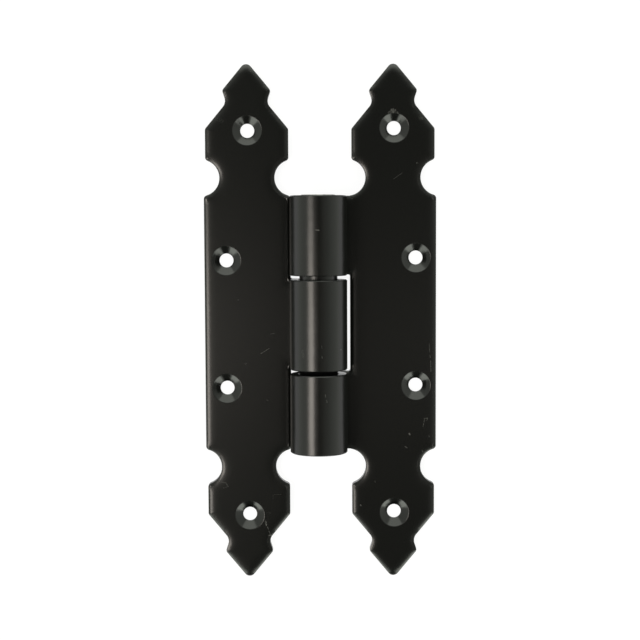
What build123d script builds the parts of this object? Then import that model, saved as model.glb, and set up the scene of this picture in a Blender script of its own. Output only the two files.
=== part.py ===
"""Ornamental H hinge: two stamped steel leaves, rolled into three knuckles around one pin.

Millimetres. The hinge lies open on its back: X runs across the leaves, Y along the pin
and Z out of the front. The back faces lie at Z = 0, and the origin is under the middle of
the hinge's outline.
"""

import os
from math import asin, degrees, isclose, radians, sin, sqrt, tan

from build123d import *

os.makedirs("parts", exist_ok=True)

# Sheet and barrel
sheet = 3.0
bore_radius = 6.1
seam_gap = 0.25
middle_knuckle_length = 28.6
knuckle_gap = 1.3
bore_chamfer = 0.5
knuckle_chamfer = 0.3

# Pin
pin_clearance = 0.06
pin_rise = 0.25
pin_recess = 0.4
pin_chamfer = 0.7

# Leaf outline, measured across and along from the leaf's middle or along from its tips
left_offset = 22.7
right_offset = 24.0
leaf_length = 165.0
body_half_width = 13.8
finial_half_width = 13.26
shoulder_from_tip = 20.4
waist_half_width = 6.4
waist_from_tip = 12.1
arrow_half_width = 7.7
arrow_half_angle = 39.7
notch_radius = 5.8
notch_across = 14.57
notch_from_tip = 35.9

# Roundings of the outline, and the bevel that stamping leaves round the front
tip_radius = 1.9
waist_radius = 3.1
relief_radius = 0.6
corner_radius = 1.2
bevel_width = 1.0
bevel_depth = 0.5

# Screw holes
hole_radius = 2.25
countersink_radius = 4.65
countersink_angle = 90
rim_radius = 0.4
finial_hole_from_tip = 20.5
body_hole_spacing = 41.2
body_hole_outset = 7.0
left_holes_across = 0.15
left_holes_along = -0.4
right_holes_across = 0.35
right_holes_along = 0.3

# Worked out from the sizes above
knuckle_radius = bore_radius + sheet
pin_radius = bore_radius - pin_clearance
tip_along = leaf_length / 2
notch_along = tip_along - notch_from_tip
barrel_half = notch_along - notch_radius
middle_half = middle_knuckle_length / 2
outer_start = middle_half + knuckle_gap
axis_x = (left_offset - right_offset) / 2
pin_line = Axis((axis_x, 0, knuckle_radius), (0, 1, 0))
curl_sweep = 270 + degrees(asin((bore_radius - seam_gap) / knuckle_radius))
left_centre = axis_x - left_offset
right_centre = axis_x + right_offset
pin_top = barrel_half + pin_rise
pin_bottom = pin_recess - barrel_half
upper_knuckle = (outer_start, barrel_half)
middle_knuckle = (-middle_half, middle_half)
lower_knuckle = (-barrel_half, -outer_start)
tip_angle = radians(arrow_half_angle)
apex_along = tip_along + tip_radius * (1 / sin(tip_angle) - 1)
arrow_along = apex_along - arrow_half_width / tan(tip_angle)


def notch_reach(half_width):
    """How far along the leaf from a notch's middle the notch meets an edge at this half width."""
    return sqrt(notch_radius**2 - (notch_across - half_width) ** 2)


def finial_edge(end):
    """The outline of the spear-shaped point at the upper (1) or lower (-1) end of a leaf."""
    flank = [
        (finial_half_width, notch_along),
        (finial_half_width, tip_along - shoulder_from_tip),
        (waist_half_width, tip_along - waist_from_tip),
        (arrow_half_width, arrow_along),
    ]
    right = [(across, end * along) for across, along in flank]
    left = [(-across, end * along) for across, along in reversed(flank)]
    rounds = [corner_radius, waist_radius, corner_radius]
    with BuildLine() as edge:
        spear = FilletPolyline(*right, (0, end * apex_along), *left, radius=rounds + [tip_radius] + rounds)
        Line(spear @ 1, spear @ 0)
    return edge.line


def corners_at(outline, points):
    """The corners of an outline that lie at these points."""
    return [outline.vertices().sort_by_distance((x, y, 0))[0] for x, y in points]


def leaf_plan(centre, toward_pin, offset, knuckles):
    """A leaf seen from the front, with a strip under the pin as long as each of its knuckles."""
    inner_edge = toward_pin * body_half_width
    finial_corner = notch_along + notch_reach(finial_half_width)
    body_corner = notch_along - notch_reach(body_half_width)
    corners = []
    reliefs = []
    with BuildSketch(Plane((centre, 0, 0))) as plan:
        Rectangle(2 * body_half_width, 2 * notch_along)
        for end in (1, -1):
            add(finial_edge(end))
            make_face()
            corners.append((finial_half_width, end * finial_corner))
            corners.append((-finial_half_width, end * finial_corner))
            corners.append((-inner_edge, end * body_corner))
        with GridLocations(2 * notch_across, 2 * notch_along, 2, 2):
            Circle(notch_radius, mode=Mode.SUBTRACT)
        for low, high in knuckles:
            with Locations((toward_pin * offset / 2, (low + high) / 2)):
                Rectangle(offset, high - low)
            reliefs += [(inner_edge, end) for end in (low, high) if abs(end) < barrel_half]
        if len(knuckles) == 1:
            corners += [(inner_edge, body_corner), (inner_edge, -body_corner)]
        fillet(corners_at(plan, corners), corner_radius)
        fillet(corners_at(plan, reliefs), relief_radius)
    return plan.sketch


def over_axis(edge):
    """Whether an edge lies right under the pin, where a strip's flat turns into its curl."""
    return isclose(edge.center().X, axis_x, abs_tol=seam_gap)


def front_face(leaf):
    """The front face of a leaf that is still flat."""
    return leaf.faces().sort_by(Axis.Z)[-1]


def outer_edges(front):
    """The edges round a front face, apart from the ends of its strips."""
    return front.outer_wire().edges().filter_by(over_axis, reverse=True)


def strip_end(low, high):
    """A strip's end under the pin, which turns about the pin into a knuckle with chamfered mouths and rims."""
    with BuildSketch(Plane.YZ.offset(axis_x)) as section:
        with Locations(((low + high) / 2, sheet / 2)):
            Rectangle(high - low, sheet)
        rims, mouths = section.vertices().group_by(Axis.Y)
        chamfer(mouths, bore_chamfer)
        chamfer(rims, knuckle_chamfer)
    return section.sketch


def countersink_rims(leaf):
    """The edges where a leaf's countersinks open into its front."""
    circles = leaf.edges().filter_by(GeomType.CIRCLE)
    return circles.filter_by(lambda circle: isclose(circle.radius, countersink_radius))


def screw_places(centre, outward, along):
    """Where the four screws go in: one in each finial and two set outward in the body."""
    places = []
    for end in (1, -1):
        places.append((centre, along + end * (tip_along - finial_hole_from_tip), sheet))
        places.append((centre + outward * body_hole_outset, along + end * body_hole_spacing / 2, sheet))
    return places


with BuildPart() as left_leaf:
    extrude(leaf_plan(left_centre, 1, left_offset, [middle_knuckle]), amount=sheet)
    front = front_face(left_leaf)
    chamfer(outer_edges(front), bevel_width, bevel_depth, reference=front)
    revolve(strip_end(*middle_knuckle), axis=pin_line.reverse(), revolution_arc=curl_sweep)
    with Locations(*screw_places(left_centre + left_holes_across, -1, left_holes_along)):
        CounterSinkHole(hole_radius, countersink_radius, counter_sink_angle=countersink_angle)
    fillet(countersink_rims(left_leaf), rim_radius)
left_leaf.part.label = "left_leaf"
export_step(left_leaf.part, "parts/left_leaf.step")

with BuildPart() as right_leaf:
    extrude(leaf_plan(right_centre, -1, right_offset, [upper_knuckle, lower_knuckle]), amount=sheet)
    front = front_face(right_leaf)
    chamfer(outer_edges(front), bevel_width, bevel_depth, reference=front)
    for knuckle in (upper_knuckle, lower_knuckle):
        revolve(strip_end(*knuckle), axis=pin_line, revolution_arc=curl_sweep)
    with Locations(*screw_places(right_centre + right_holes_across, 1, right_holes_along)):
        CounterSinkHole(hole_radius, countersink_radius, counter_sink_angle=countersink_angle)
    fillet(countersink_rims(right_leaf), rim_radius)
right_leaf.part.label = "right_leaf"
export_step(right_leaf.part, "parts/right_leaf.step")

with BuildPart() as hinge_pin:
    with BuildSketch(Plane.XZ.offset(-pin_top)):
        with Locations((axis_x, knuckle_radius)):
            Circle(pin_radius)
    extrude(amount=pin_top - pin_bottom)
    chamfer(hinge_pin.edges().filter_by(GeomType.CIRCLE), pin_chamfer)
hinge_pin.part.label = "hinge_pin"
export_step(hinge_pin.part, "parts/hinge_pin.step")
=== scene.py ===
"""Ornamental H hinge in satin black paint, lying open on its back on a pale floor.

Metres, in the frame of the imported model: X across the leaves, Y along the pin, Z out of the front.
Materials work in millimetres of the same frame.
"""

import math
from dataclasses import dataclass

import bpy
from mathutils import Euler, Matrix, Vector

MM = 0.001

# Camera, placed so that the hinge appears as in the photograph
IMAGE_SIDE = 640
FOCAL_PIXELS = 1410.1
SENSOR = 36.0
CAMERA_PLACE = Vector((-2.4, 34.04, 455.0)) * MM
CAMERA_TURN = (-0.07296, -0.00491, -0.00445)
CAMERA_TURN_ORDER = "ZYX"
CLIP_START = 0.01

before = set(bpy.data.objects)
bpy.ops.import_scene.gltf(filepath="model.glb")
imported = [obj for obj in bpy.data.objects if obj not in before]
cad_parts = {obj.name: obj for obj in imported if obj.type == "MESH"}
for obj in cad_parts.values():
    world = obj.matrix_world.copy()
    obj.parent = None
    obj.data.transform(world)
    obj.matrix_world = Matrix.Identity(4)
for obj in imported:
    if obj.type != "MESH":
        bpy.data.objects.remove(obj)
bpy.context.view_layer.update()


class Shade:
    """An output in a node tree that works in sums and products, each of which adds a Math node."""

    def __init__(self, tree, socket=None):
        self.tree = tree
        self.socket = socket

    def node(self, kind, settings=None, inputs=None, output=0):
        """Add a node, set it up, feed its inputs with values or links and return one of its outputs."""
        made = self.tree.nodes.new(kind)
        for name, value in (settings or {}).items():
            if name == "stops":
                self.set_stops(made.color_ramp, value)
            else:
                setattr(made, name, value)
        for key, value in (inputs or {}).items():
            if isinstance(value, Shade):
                self.tree.links.new(value.socket, made.inputs[key])
            else:
                made.inputs[key].default_value = value
        return Shade(self.tree, made.outputs[output]) if made.outputs else None

    @staticmethod
    def set_stops(ramp, stops):
        while len(ramp.elements) < len(stops):
            ramp.elements.new(1.0)
        for element, (place, level) in zip(ramp.elements, stops):
            element.position = place
            element.color = grey(level)

    def math(self, operation, *values):
        return self.node("ShaderNodeMath", {"operation": operation}, dict(enumerate(values)))

    def vector_math(self, operation, inputs, output=0):
        return self.node("ShaderNodeVectorMath", {"operation": operation}, inputs, output)

    def __add__(self, other):
        return self.math("ADD", self, other)

    def __radd__(self, other):
        return self.math("ADD", other, self)

    def __sub__(self, other):
        return self.math("SUBTRACT", self, other)

    def __rsub__(self, other):
        return self.math("SUBTRACT", other, self)

    def __mul__(self, other):
        return self.math("MULTIPLY", self, other)

    def __rmul__(self, other):
        return self.math("MULTIPLY", other, self)

    def __truediv__(self, other):
        return self.math("DIVIDE", self, other)

    def larger(self, other, blend=0.0):
        return self.math("SMOOTH_MAX", self, other, blend) if blend else self.math("MAXIMUM", self, other)

    def smaller(self, other, blend=0.0):
        return self.math("SMOOTH_MIN", self, other, blend) if blend else self.math("MINIMUM", self, other)

    def above(self, level):
        return self.math("GREATER_THAN", self, level)

    def size(self):
        return self.math("ABSOLUTE", self)

    def exponential(self):
        return self.math("EXPONENT", self)

    def length(self, other):
        """The length of the vector with this and other as its two numbers."""
        return self.math("SQRT", self * self + other * other)

    def between(self, low, high):
        """0 below low and 1 above high, with a smooth step in between."""
        settings = {"interpolation_type": "SMOOTHSTEP"}
        return self.node("ShaderNodeMapRange", settings, {"Value": self, "From Min": low, "From Max": high})

    def mixed(self, low, high):
        """A colour from low, where this is 0, to high, where it is 1."""
        return self.node("ShaderNodeMix", {"data_type": "RGBA"}, {0: self, 6: low, 7: high}, output=2)

    def covered(self, under, over):
        """A surface that is under where this is 0 and over where it is 1."""
        return self.node("ShaderNodeMixShader", None, {0: self, 1: under, 2: over})

    def parts(self):
        """The three numbers of a vector."""
        return [self.node("ShaderNodeSeparateXYZ", None, {"Vector": self}, output=axis) for axis in range(3)]


def new_material(name):
    material = bpy.data.materials.new(name)
    material.use_nodes = True
    material.node_tree.nodes.clear()
    return material, Shade(material.node_tree)


def finish_surface(shade, surface):
    shade.node("ShaderNodeOutputMaterial", None, {"Surface": surface})


def grey(level):
    return (level, level, level, 1.0)


def noise(shade, place, size, detail):
    """Noise whose lumps are about this size, in the units of place."""
    return shade.node("ShaderNodeTexNoise", None, {"Vector": place, "Scale": 1.0 / size, "Detail": detail})


# Paint and bare metal

PAINT = (0.0014, 0.0016, 0.0012, 1.0)
PAINT_ROUGHNESS = 0.265
CONE_ROUGHNESS = 0.18
SCUFFED = (0.13, 0.128, 0.12, 1.0)
SCUFFED_ROUGHNESS = 0.5
# Painted shade: a near-black, dull surface put where the lower joint lies in shade
JOINT_PAINTED_SHADE = {"Base Color": grey(0.001), "Roughness": 0.8, "IOR": 1.2}
WORN_STEEL = {"Base Color": (0.32, 0.31, 0.29, 1.0), "Metallic": 0.6, "Roughness": 0.4}
PEEL_DEPTH = 0.003
PEEL_SIZE = 1.2
DENT_DEPTH = 0.05
DENT_SIZE = 5.0
PATCH_SIZE = 1.5
PATCH_EDGE = (0.3, 0.5)
BREAK_SIZE = 0.35
BREAK_EDGE = (0.3, 0.6)

# Outline of a leaf, as half widths across and distances along from the leaf's middle
BODY_SIDE = 13.8
FINIAL_SIDE = 13.26
SHOULDER = (FINIAL_SIDE, 62.1)
WAIST = (6.4, 70.4)
BARB = (7.7, 74.3)
FAR_BARB = (-BARB[0], BARB[1])
APEX = (0, 83.57)
NOTCH = (14.57, 46.6)
NOTCH_RADIUS = 5.8
CORNER_RADIUS = 1.2
WAIST_RADIUS = 3.1
TIP_RADIUS = 1.9
NOTCH_BLEND = 1.5
RELIEF_BLEND = 1.0

# Heights in the sheet and the barrel. A pair is where a smooth step starts and where it ends.
SHEET = 3.0
BACK_SKIN = 0.02
FRONT_BEGINS = (SHEET - 1.2, SHEET - 0.7)
FRONT_ENDS = (SHEET + 0.1, SHEET + 0.3)
BARREL_BEGINS = (2 * SHEET, 3 * SHEET)
BARREL_TOP = 17.0

# Bevel round the front, which the roll of the stamping replaces. The roll is weaker in waists and notches,
# and the leaf bends down a little at its tips.
BEVEL_WIDTH = 1.0
BEVEL_SLOPE = 0.5
ROLL_DEPTH = 0.465
ROLL_WIDTH = 0.85
RIM_DEPTH = 0.11
RIM_WIDTH = 0.55
WAIST_EASE = 0.43
WAIST_BEGINS = (WAIST[1] - 3.4, WAIST[1] - 1.4)
WAIST_ENDS = (WAIST[1] + 3.6, WAIST[1] + 5.6)
NOTCH_EASE = 0.28
NOTCH_ENDS = (NOTCH_RADIUS + 0.5, NOTCH_RADIUS + 3.0)
DROOP_START = 79.5
DROOP = 0.05

# Screw holes, whose countersinks look a little flatter than they are cut
HOLE_RADIUS = 2.25
CONE_RADIUS = 4.55
CONE_EASE = 0.24
CONE_RIM = 0.01
FINIAL_HOLE = 62.0
BODY_HOLE = 20.6
HOLE_OUTSET = 7.0

# Pin, with paint rubbed off the rings at its ends, and shade painted dark into the lower joint
PIN_ACROSS = -0.65
PIN_UP = 9.1
PIN_RING = (5.0, 5.3)
PIN_END = (40.3, 40.5)
LOWER_JOINT = 14.95
KNUCKLE_ENDS = (0.66, 0.71)
# How far the painted shade of the lower joint reaches along the pin, and out from the pin on the knuckle ends
PIN_PAINTED_SHADE_ALONG = (1.5, 2.0)
PAINTED_SHADE_ENDS = (5.0, 6.0)
ABOVE_LEAF = 1.1 * SHEET

# Where a mark fades out, as shares of half its width
MARK_EDGE = (0.6, 1.6)

# Marks as the photograph shows them: where each starts and ends in its pixels, half its width in millimetres,
# and how light it is
LEFT_MARKS = [
    ((261, 353.5), (269, 348.5), 0.12, 0.35),
    ((270, 334.2), (275, 333.2), 0.1, 0.2),
    ((245, 364), (246, 363.4), 0.2, 0.3),
    ((267, 400), (268, 400.5), 0.15, 0.25),
    ((238, 300), (238.5, 300), 0.15, 0.2),
    ((221, 482), (226, 483), 0.13, 0.22),
    ((226, 483), (228, 486.5), 0.13, 0.25),
    ((227, 487), (223, 488), 0.12, 0.15),
    ((265.5, 521.5), (266.5, 525), 0.2, 0.7),
    ((267.5, 527), (268.5, 529.5), 0.12, 0.4),
    ((269, 531), (270, 533.5), 0.12, 0.35),
    ((269.5, 535.5), (273, 534.5), 0.2, 0.6),
    ((267, 512.8), (270.5, 513), 0.09, 0.1),
    ((273, 499), (273, 495), 0.09, 0.12),
    ((274, 494.7), (281, 494.3), 0.09, 0.12),
    ((217, 119), (222, 121), 0.6, 0.04),
]
RIGHT_MARKS = [
    ((388.5, 112.6), (389.5, 111.8), 0.22, 0.35),
    ((391, 112.5), (391.4, 109.5), 0.22, 0.45),
    ((393, 112.3), (393.3, 109), 0.24, 0.5),
    ((395, 112.3), (395.4, 110), 0.22, 0.45),
    ((397, 112.2), (398, 113), 0.22, 0.3),
    ((420, 117.5), (421.5, 118.5), 0.5, 0.17),
    ((417, 163), (417.5, 163.5), 0.2, 0.35),
    ((393.5, 179), (402, 173), 0.09, 0.2),
    ((429.3, 344), (429.8, 352), 0.1, 0.4),
    ((430, 355), (430.2, 357.5), 0.12, 0.35),
    ((430.6, 361), (431, 371.5), 0.1, 0.45),
    ((424.5, 419.5), (423, 426.5), 0.11, 0.35),
    ((424.2, 418.4), (427.6, 418.2), 0.12, 0.4),
    ((427.4, 418.6), (426.7, 420.6), 0.11, 0.35),
    ((429, 435.5), (429.3, 436.5), 0.16, 0.35),
    ((409.3, 433.6), (409.8, 434.3), 0.2, 0.6),
    ((405, 446.5), (407, 447.8), 0.13, 0.35),
    ((422, 450), (423, 452), 0.13, 0.3),
    ((375, 481), (375.3, 482), 0.14, 0.35),
    ((360.5, 505), (361, 505.6), 0.16, 0.4),
]
MIDDLE_KNUCKLE_MARKS = [
    ((321.7, 345.5), (322, 348), 0.1, 0.2),
    ((322, 356), (322.3, 358), 0.12, 0.25),
    ((341, 350), (341.3, 350.5), 0.15, 0.35),
    ((302.5, 351), (303.5, 357), 0.35, 0.07),
]
OUTER_KNUCKLE_MARKS = [
    ((316, 230), (319, 230.2), 0.13, 0.7),
    ((325.3, 394.5), (325.8, 397), 0.12, 0.25),
    ((326.6, 400), (327, 402), 0.12, 0.3),
]


@dataclass
class Leaf:
    """What sets one leaf apart: its middle, the way to the pin, its strips, its screw holes and its marks."""

    middle: float
    toward_pin: int
    strip_along: float
    strip_half: float
    holes_across: float
    holes_along: float
    marks: list
    knuckle_marks: list


LEFT_LEAF = Leaf(
    middle=-23.35,
    toward_pin=1,
    strip_along=0.0,
    strip_half=14.3,
    holes_across=0.15,
    holes_along=-0.4,
    marks=LEFT_MARKS,
    knuckle_marks=MIDDLE_KNUCKLE_MARKS,
)
RIGHT_LEAF = Leaf(
    middle=23.35,
    toward_pin=-1,
    strip_along=28.2,
    strip_half=12.6,
    holes_across=0.35,
    holes_along=0.3,
    marks=RIGHT_MARKS,
    knuckle_marks=OUTER_KNUCKLE_MARKS,
)


def millimetres(shade):
    """The place on a piece, in millimetres of the model's frame."""
    metres = shade.node("ShaderNodeTexCoord", output="Object")
    return shade.vector_math("SCALE", {0: metres, "Scale": 1.0 / MM})


def outward(start, end):
    """The direction square to a straight edge, to the right of its run from start to end."""
    run = math.dist(start, end)
    return (end[1] - start[1]) / run, (start[0] - end[0]) / run


def inside_line(across, along, start, end):
    """How far a point lies to the left of a straight edge that runs from start to end."""
    out_across, out_along = outward(start, end)
    return start[0] * out_across + start[1] * out_along - across * out_across - along * out_along


def round_corner(depth, across, along, before, corner, after, radius):
    """The depth inside an outline, corrected where a corner between two straight edges is rounded."""
    first = outward(before, corner)
    second = outward(corner, after)
    turn = math.copysign(1, first[0] * second[1] - first[1] * second[0])
    reach = -turn * radius / (1 + first[0] * second[0] + first[1] * second[1])
    from_middle = across - (corner[0] + reach * (first[0] + second[0]))
    up_middle = along - (corner[1] + reach * (first[1] + second[1]))
    past_first = (from_middle * -first[1] + up_middle * first[0]).above(0.0)
    before_second = (from_middle * second[1] - up_middle * second[0]).above(0.0)
    arc = (radius - from_middle.length(up_middle)) * turn
    return depth + past_first * before_second * (arc - depth)


def from_notch(width, along):
    """How far a point lies from the middle of the nearest notch."""
    return (width - NOTCH[0]).length(along - NOTCH[1])


def inside_leaf(across, along, leaf):
    """How far a point of a leaf lies inside its outline."""
    width = across.size()
    below = (FINIAL_SIDE, 0)
    side = BODY_SIDE - along.above(NOTCH[1]) * (BODY_SIDE - FINIAL_SIDE) - width
    trunk = side.smaller(inside_line(width, along, SHOULDER, WAIST))
    trunk = round_corner(trunk, width, along, below, SHOULDER, WAIST, CORNER_RADIUS)
    head = inside_line(width, along, WAIST, BARB).smaller(inside_line(width, along, BARB, APEX))
    head = round_corner(head, width, along, WAIST, BARB, APEX, CORNER_RADIUS)
    head = round_corner(head, width, along, BARB, APEX, FAR_BARB, TIP_RADIUS)
    outline = round_corner(trunk.larger(head), width, along, SHOULDER, WAIST, BARB, WAIST_RADIUS)
    outline = outline.smaller(from_notch(width, along) - NOTCH_RADIUS, NOTCH_BLEND)
    strip = (leaf.strip_half - (along - leaf.strip_along).size()).smaller(across * leaf.toward_pin)
    return outline.larger(strip, RELIEF_BLEND).larger(0.0)


def stamped_relief(across, along, leaf):
    """The height that turns the straight bevel round the front into the soft roll that stamping leaves."""
    depth = inside_leaf(across, along, leaf)
    bevel = (BEVEL_WIDTH - depth).larger(0.0) * BEVEL_SLOPE
    roll = (depth * (-1 / ROLL_WIDTH)).exponential() * ROLL_DEPTH
    rim = (depth * (-1 / RIM_WIDTH)).exponential() * RIM_DEPTH
    at_waist = along.between(*WAIST_BEGINS) * (1 - along.between(*WAIST_ENDS))
    at_notch = 1 - from_notch(across.size(), along).between(*NOTCH_ENDS)
    strength = 1 - (at_waist * WAIST_EASE).larger(at_notch * NOTCH_EASE)
    past_head = (along - DROOP_START).larger(0.0)
    return bevel - (roll + rim) * strength - past_head * past_head * DROOP


def from_screw(across, y, z, leaf):
    """How far a point lies from the nearest screw, from the hole's edge to the countersink's rim.

    Points farther out, and all on the back, count as lying on the rim, which keeps them plain.
    """
    across = across - leaf.holes_across
    along = (y - leaf.holes_along).size()
    finial = across.length(along - FINIAL_HOLE)
    body = (across + leaf.toward_pin * HOLE_OUTSET).length(along - BODY_HOLE)
    back = (1 - z.above(BACK_SKIN)) * CONE_RADIUS
    return finial.smaller(body).larger(HOLE_RADIUS).larger(back).smaller(CONE_RADIUS)


def under_pixel(across, down, height):
    """The point at this height, in millimetres, that lies this many pixels across and down the photograph."""
    middle = IMAGE_SIDE / 2
    turn = Euler(CAMERA_TURN, CAMERA_TURN_ORDER).to_matrix()
    ray = turn @ Vector((across - middle, middle - down, -FOCAL_PIXELS))
    camera = CAMERA_PLACE / MM
    return camera + ray * ((height - camera.z) / ray.z)


def mark_mask(shade, place, marks, height):
    """How light the marks make the paint at a point, seen from the front."""
    total = None
    for start, end, half_width, light in marks:
        first = under_pixel(*start, height)
        run = under_pixel(*end, height) - first
        offset = shade.vector_math("SUBTRACT", {0: place, 1: first})
        along = shade.vector_math("DOT_PRODUCT", {0: offset, 1: run}, output=1)
        share = (along / run.length_squared).larger(0.0).smaller(1.0)
        nearest = shade.vector_math("SCALE", {0: run, "Scale": share})
        gap = shade.vector_math("SUBTRACT", {0: offset, 1: nearest})
        flat_gap = shade.vector_math("MULTIPLY", {0: gap, 1: (1, 1, 0)})
        distance = shade.vector_math("LENGTH", {0: flat_gap}, output=1)
        mark = (1 - distance.between(half_width * MARK_EDGE[0], half_width * MARK_EDGE[1])) * light
        total = mark if total is None else total.larger(mark)
    return total * noise(shade, place, BREAK_SIZE, detail=2.0).between(*BREAK_EDGE)


def satin_paint(shade, place, colour, roughness, height=0.0):
    """Paint with a faint orange peel over a surface with this extra height."""
    peel = noise(shade, place, PEEL_SIZE, detail=2.0) * PEEL_DEPTH
    bump = shade.node("ShaderNodeBump", None, {"Distance": MM, "Height": peel + height})
    looks = {"Base Color": colour, "Roughness": roughness, "Normal": bump}
    return shade.node("ShaderNodeBsdfPrincipled", None, looks)


# Painted shade: the dark, dull surface that stands in for the shade between the knuckles
def joint_painted_shade(shade):
    return shade.node("ShaderNodeBsdfPrincipled", None, JOINT_PAINTED_SHADE)


def leaf_material(name, leaf):
    """Black paint on a leaf, with its stamped roll, its marks and shade painted dark into the lower joint."""
    material, shade = new_material(name)
    place = millimetres(shade)
    x, y, z = place.parts()
    across = x - leaf.middle
    front = z.between(*FRONT_BEGINS) * (1 - z.between(*FRONT_ENDS))
    cone = from_screw(across, y, z, leaf)
    dents = noise(shade, place, DENT_SIZE, detail=1.0) * z.between(*BARREL_BEGINS) * DENT_DEPTH
    height = stamped_relief(across, y.size(), leaf) * front + dents - cone * CONE_EASE
    flat_marks = mark_mask(shade, place, leaf.marks, SHEET) * front
    high_marks = mark_mask(shade, place, leaf.knuckle_marks, BARREL_TOP) * z.above(BARREL_BEGINS[0])
    marked = flat_marks.larger(high_marks)
    past_cone = cone.above(CONE_RADIUS - CONE_RIM)
    roughness = CONE_ROUGHNESS + past_cone * (PAINT_ROUGHNESS - CONE_ROUGHNESS)
    roughness = roughness + marked * (SCUFFED_ROUGHNESS - PAINT_ROUGHNESS)
    painted = satin_paint(shade, place, marked.mixed(PAINT, SCUFFED), roughness, height)
    # Painted shade on the knuckle ends in the lower joint, near the pin
    in_joint = (1 - (y + LOWER_JOINT).size().between(*KNUCKLE_ENDS)) * z.above(ABOVE_LEAF)
    painted_shade_mask = in_joint * (1 - (x - PIN_ACROSS).between(*PAINTED_SHADE_ENDS))
    finish_surface(shade, painted_shade_mask.covered(painted, joint_painted_shade(shade)))
    return material


def pin_material():
    """Black paint on the pin, rubbed to bare steel on its end chamfers, with shade painted dark into the
    lower joint.
    """
    material, shade = new_material("pin_paint")
    place = millimetres(shade)
    x, y, z = place.parts()
    painted = satin_paint(shade, place, PAINT, PAINT_ROUGHNESS)
    # Painted shade on the pin where it shows in the lower joint
    painted_shade_mask = 1 - (y + LOWER_JOINT).size().between(*PIN_PAINTED_SHADE_ALONG)
    ring = (x - PIN_ACROSS).length(z - PIN_UP).between(*PIN_RING)
    patches = noise(shade, place, PATCH_SIZE, detail=3.0).between(*PATCH_EDGE)
    rubbed = y.size().between(*PIN_END) * ring * patches
    worn = shade.node("ShaderNodeBsdfPrincipled", None, WORN_STEEL)
    finish_surface(shade, rubbed.covered(painted_shade_mask.covered(painted, joint_painted_shade(shade)), worn))
    return material


def dress(node, material):
    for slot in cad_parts[node].material_slots:
        slot.material = material


dress("left_leaf", leaf_material("left_paint", LEFT_LEAF))
dress("right_leaf", leaf_material("right_paint", RIGHT_LEAF))
dress("hinge_pin", pin_material())


# Floor, which looks white and keeps the hinge's shadow

FLOOR_SIDE = 3.0
FLOOR_DROP = 0.0001
FLOOR_WHITE = 0.86
SHADOW_WHITE = 0.12
GLOW = 0.92


def ray_of(shade, *kinds):
    """1 for a ray of one of these kinds, and 0 for any other."""
    rays = [shade.node("ShaderNodeLightPath", output=f"Is {kind} Ray") for kind in kinds]
    found = rays[0]
    for ray in rays[1:]:
        found = found.larger(ray)
    return found


def pale_floor():
    bpy.ops.mesh.primitive_plane_add(size=FLOOR_SIDE, location=(0, 0, -FLOOR_DROP))
    floor = bpy.context.object
    floor.name = "floor"
    material, shade = new_material("pale_floor")
    lighting = shade.node("ShaderNodeBsdfDiffuse", None, {"Color": grey(FLOOR_WHITE)})
    shadowed = shade.node("ShaderNodeBsdfDiffuse", None, {"Color": grey(SHADOW_WHITE)})
    glow = shade.node("ShaderNodeEmission", None, {"Color": grey(1.0), "Strength": GLOW})
    looks = shade.node("ShaderNodeAddShader", None, {0: shadowed, 1: glow})
    finish_surface(shade, ray_of(shade, "Camera", "Glossy", "Transmission").covered(lighting, looks))
    floor.data.materials.append(material)


pale_floor()


# Light. The tent's walls dim from the floor up to a dark opening, which leans toward the near end. Its panels
# are bounded by how far along Y a ray heads and by how high it rises, as shares of the ray.

TENT_TINT = (0.955, 1.0, 0.9, 1.0)
TENT_LEVEL = 1.25
WALL_STOPS = [(0.0, 1.0), (0.2, 0.8), (0.6, 0.6), (0.8, 0.4), (0.93, 0.16), (0.98, 0.022), (1.0, 0.011)]
OPENING_LEAN = math.radians(6)
LEAST_LENGTH = 0.001
FAR_END_LEVEL = 1.42
FAR_END_BEGINS = (0.76, 0.82)
FAR_END_TOP = (0.6, 0.94)
NEAR_SIDES_LEVEL = 3.0
NEAR_SIDES_BEGIN = (-0.96, -0.9)
NEAR_SIDES_END = (-0.66, -0.52)
NEAR_SIDES_TOP = (0.55, 0.82)
NEAR_END = (-0.975, -0.92)
NEAR_END_TOP = (0.8, 0.95)
NEAR_END_DARK = 0.85
LAMP_TINT = (1.0, 0.925, 0.84)
LAMP_DISTANCE = 0.9


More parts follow.
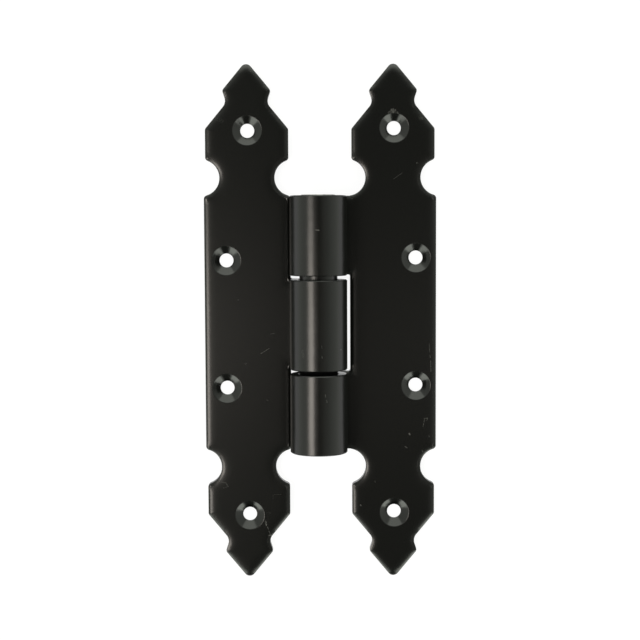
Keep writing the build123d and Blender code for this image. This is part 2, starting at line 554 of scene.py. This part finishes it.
def tent():
    """A white tent, darker overhead where the camera looks in, with brighter panels at its ends."""
    world = bpy.data.worlds.new("tent")
    bpy.context.scene.world = world
    world.use_nodes = True
    world.node_tree.nodes.clear()
    shade = Shade(world.node_tree)
    x, y, height = shade.node("ShaderNodeTexCoord", output="Generated").parts()
    upright = height * math.cos(OPENING_LEAN) - y * math.sin(OPENING_LEAN)
    wall = shade.node("ShaderNodeValToRGB", {"stops": WALL_STOPS}, {"Fac": upright}) * TENT_LEVEL
    heading = y / x.length(y).larger(LEAST_LENGTH)
    far_end = heading.between(*FAR_END_BEGINS) * (1 - height.between(*FAR_END_TOP))
    near_sides = heading.between(*NEAR_SIDES_BEGIN) * (1 - heading.between(*NEAR_SIDES_END))
    near_sides = near_sides * (1 - height.between(*NEAR_SIDES_TOP))
    near_end = (1 - heading.between(*NEAR_END)) * (1 - height.between(*NEAR_END_TOP))
    level = wall + far_end * FAR_END_LEVEL + near_sides * NEAR_SIDES_LEVEL
    strength = level * (1 - near_end * NEAR_END_DARK)
    walls = shade.node("ShaderNodeBackground", None, {"Color": TENT_TINT, "Strength": strength})
    white = shade.node("ShaderNodeBackground", None, {"Color": grey(1.0), "Strength": 1.0})
    surface = ray_of(shade, "Camera", "Transmission").covered(walls, white)
    shade.node("ShaderNodeOutputWorld", None, {"Surface": surface})


def soft_light(name, lean, pitch, width, length, level):
    """A flat soft light over the hinge. It leans left and pitches down the picture, in degrees.

    Its level is the brightness of its face.
    """
    light = bpy.data.lights.new(name, "AREA")
    light.shape = "RECTANGLE"
    light.size = width
    light.size_y = length
    light.color = LAMP_TINT
    light.energy = math.pi * width * length * level
    lamp = bpy.data.objects.new(name, light)
    turn = Euler((math.radians(pitch), -math.radians(lean), 0))
    lamp.rotation_euler = turn
    lamp.location = turn.to_matrix() @ Vector((0, 0, LAMP_DISTANCE))
    bpy.context.scene.collection.objects.link(lamp)


tent()
soft_light("key_strip", lean=31.5, pitch=10.5, width=0.27, length=0.39, level=7.4)
soft_light("soft_box", lean=23, pitch=7, width=0.12, length=0.16, level=5.0)
soft_light("left_glow", lean=10, pitch=5, width=0.16, length=0.1, level=1.65)
soft_light("right_glow", lean=-9, pitch=5.5, width=0.16, length=0.11, level=0.5)
soft_light("right_haze", lean=-22, pitch=5, width=0.28, length=0.5, level=0.17)


def photo_camera():
    camera_data = bpy.data.cameras.new("camera")
    camera_data.sensor_width = SENSOR
    camera_data.lens = FOCAL_PIXELS / IMAGE_SIDE * SENSOR
    camera_data.clip_start = CLIP_START
    camera = bpy.data.objects.new("camera", camera_data)
    camera.location = CAMERA_PLACE
    camera.rotation_mode = CAMERA_TURN_ORDER
    camera.rotation_euler = CAMERA_TURN
    bpy.context.scene.collection.objects.link(camera)
    bpy.context.scene.camera = camera


photo_camera()
bpy.context.scene.view_settings.view_transform = "Standard"
